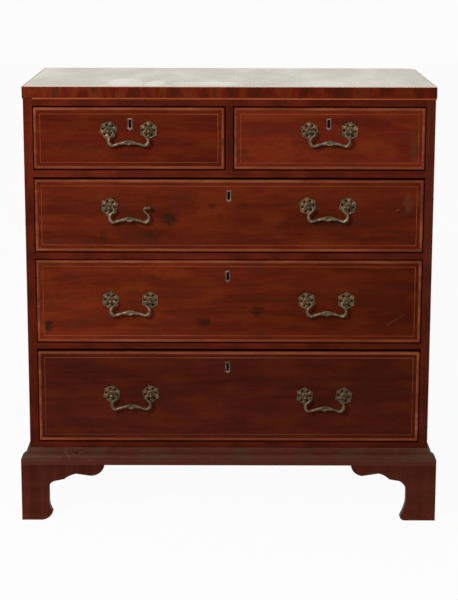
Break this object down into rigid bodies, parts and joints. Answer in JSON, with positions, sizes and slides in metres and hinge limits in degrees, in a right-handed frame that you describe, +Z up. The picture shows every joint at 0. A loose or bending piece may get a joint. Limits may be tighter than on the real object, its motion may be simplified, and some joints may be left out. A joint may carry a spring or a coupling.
{
  "type": "bachelors chest of drawers",
  "caption": "Chest with two short drawers over three long ones in a wooden case on bracket feet, with beaded fronts and brass bail handles.",
  "frame": {"origin": "on the floor, under the middle of the box round the whole chest, handles included", "axes": "+Z up, -Y towards the user in front of the drawers, +X to the right seen from the front"},
  "size_m": [0.95, 0.536, 0.993],
  "materials": {
    "case_mahogany": "dark red mahogany, waxed",
    "top_mahogany": "mahogany, polished and faded",
    "crossband_mahogany": "cross-grained mahogany banding, waxed",
    "drawer_mahogany": "mahogany veneer, French polished",
    "cock_bead": "worn mahogany bead",
    "boxwood": "boxwood string, polished over and darkened",
    "drawer_oak": "dry unpolished oak",
    "carcass_pine": "dry unpolished pine",
    "handle_brass": "cast brass, dark patina with verdigris",
    "lock_brass": "dull old brass",
    "lock_steel": "worn iron"
  },
  "bodies": {
    "case": {"top_board": "top_mahogany", "top_edge_banding": "crossband_mahogany", "side_left": "case_mahogany", "side_right": "case_mahogany", "top_rail": "case_mahogany", "drawer_rails": "case_mahogany", "short_drawer_divider": "case_mahogany", "dustboards": "carcass_pine", "bottom_board": "carcass_pine", "drawer_runners": "carcass_pine", "drawer_stops": "carcass_pine", "back_boards": "carcass_pine", "base_moulding": "case_mahogany", "foot_front_left": "case_mahogany", "foot_front_right": "case_mahogany", "foot_rear_left": "case_mahogany", "foot_rear_right": "case_mahogany"},
    "top_left_drawer": {"top_left_drawer_front": "drawer_mahogany", "top_left_drawer_cock_bead": "cock_bead", "top_left_drawer_box": "drawer_oak", "top_left_drawer_bottom": "drawer_oak", "top_left_drawer_lock": "lock_brass", "top_left_drawer_handle_mounts": "handle_brass"},
    "bolt_top_left": {"top_left_drawer_lock_bolt": "lock_steel"},
    "bail_top_left": {"top_left_bail": "handle_brass"},
    "top_right_drawer": {"top_right_drawer_front": "drawer_mahogany", "top_right_drawer_cock_bead": "cock_bead", "top_right_drawer_box": "drawer_oak", "top_right_drawer_bottom": "drawer_oak", "top_right_drawer_lock": "lock_brass", "top_right_drawer_handle_mounts": "handle_brass"},
    "bolt_top_right": {"top_right_drawer_lock_bolt": "lock_steel"},
    "bail_top_right": {"top_right_bail": "handle_brass"},
    "upper_drawer": {"upper_drawer_front": "drawer_mahogany", "upper_drawer_cock_bead": "cock_bead", "upper_drawer_box": "drawer_oak", "upper_drawer_bottom": "drawer_oak", "upper_drawer_lock": "lock_brass", "upper_drawer_handle_mounts": "handle_brass"},
    "bolt_upper": {"upper_drawer_lock_bolt": "lock_steel"},
    "bail_upper_left": {"upper_left_bail": "handle_brass"},
    "bail_upper_right": {"upper_right_bail": "handle_brass"},
    "middle_drawer": {"middle_drawer_front": "drawer_mahogany", "middle_drawer_cock_bead": "cock_bead", "middle_drawer_box": "drawer_oak", "middle_drawer_bottom": "drawer_oak", "middle_drawer_lock": "lock_brass", "middle_drawer_handle_mounts": "handle_brass"},
    "bolt_middle": {"middle_drawer_lock_bolt": "lock_steel"},
    "bail_middle_left": {"middle_left_bail": "handle_brass"},
    "bail_middle_right": {"middle_right_bail": "handle_brass"},
    "lower_drawer": {"lower_drawer_front": "drawer_mahogany", "lower_drawer_cock_bead": "cock_bead", "lower_drawer_box": "drawer_oak", "lower_drawer_bottom": "drawer_oak", "lower_drawer_lock": "lock_brass", "lower_drawer_handle_mounts": "handle_brass"},
    "bolt_lower": {"lower_drawer_lock_bolt": "lock_steel"},
    "bail_lower_left": {"lower_left_bail": "handle_brass"},
    "bail_lower_right": {"lower_right_bail": "handle_brass"}
  },
  "joints": [
    {"name": "slide_top_left_drawer", "type": "slide", "parent": "case", "child": "top_left_drawer", "axis": [0, -1, 0], "range_m": [0, 0.36]},
    {"name": "throw_bolt_top_left", "type": "slide", "parent": "top_left_drawer", "child": "bolt_top_left", "axis": [0, 0, 1], "range_m": [0, 0.01]},
    {"name": "swing_bail_top_left", "type": "hinge", "parent": "top_left_drawer", "child": "bail_top_left", "pos_m": [-0.2226, -0.26, 0.8975], "axis": [-1, 0, 0], "range_deg": [-12, 150]},
    {"name": "slide_top_right_drawer", "type": "slide", "parent": "case", "child": "top_right_drawer", "axis": [0, -1, 0], "range_m": [0, 0.36]},
    {"name": "throw_bolt_top_right", "type": "slide", "parent": "top_right_drawer", "child": "bolt_top_right", "axis": [0, 0, 1], "range_m": [0, 0.01]},
    {"name": "swing_bail_top_right", "type": "hinge", "parent": "top_right_drawer", "child": "bail_top_right", "pos_m": [0.2217, -0.26, 0.8968], "axis": [-1, 0, 0], "range_deg": [-12, 150]},
    {"name": "slide_upper_drawer", "type": "slide", "parent": "case", "child": "upper_drawer", "axis": [0, -1, 0], "range_m": [0, 0.36]},
    {"name": "throw_bolt_upper", "type": "slide", "parent": "upper_drawer", "child": "bolt_upper", "axis": [0, 0, 1], "range_m": [0, 0.01]},
    {"name": "swing_bail_upper_left", "type": "hinge", "parent": "upper_drawer", "child": "bail_upper_left", "pos_m": [-0.2223, -0.26, 0.7264], "axis": [-1, 0, 0], "range_deg": [-12, 150]},
    {"name": "swing_bail_upper_right", "type": "hinge", "parent": "upper_drawer", "child": "bail_upper_right", "pos_m": [0.2198, -0.26, 0.7288], "axis": [-1, 0, 0], "range_deg": [-12, 150]},
    {"name": "slide_middle_drawer", "type": "slide", "parent": "case", "child": "middle_drawer", "axis": [0, -1, 0], "range_m": [0, 0.36]},
    {"name": "throw_bolt_middle", "type": "slide", "parent": "middle_drawer", "child": "bolt_middle", "axis": [0, 0, 1], "range_m": [0, 0.01]},
    {"name": "swing_bail_middle_left", "type": "hinge", "parent": "middle_drawer", "child": "bail_middle_left", "pos_m": [-0.2221, -0.26, 0.514], "axis": [-1, 0, 0], "range_deg": [-12, 150]},
    {"name": "swing_bail_middle_right", "type": "hinge", "parent": "middle_drawer", "child": "bail_middle_right", "pos_m": [0.2197, -0.26, 0.513], "axis": [-1, 0, 0], "range_deg": [-12, 150]},
    {"name": "slide_lower_drawer", "type": "slide", "parent": "case", "child": "lower_drawer", "axis": [0, -1, 0], "range_m": [0, 0.36]},
    {"name": "throw_bolt_lower", "type": "slide", "parent": "lower_drawer", "child": "bolt_lower", "axis": [0, 0, 1], "range_m": [0, 0.01]},
    {"name": "swing_bail_lower_left", "type": "hinge", "parent": "lower_drawer", "child": "bail_lower_left", "pos_m": [-0.222, -0.26, 0.2956], "axis": [-1, 0, 0], "range_deg": [-12, 150]},
    {"name": "swing_bail_lower_right", "type": "hinge", "parent": "lower_drawer", "child": "bail_lower_right", "pos_m": [0.2176, -0.26, 0.2914], "axis": [-1, 0, 0], "range_deg": [-12, 150]}
  ]
}
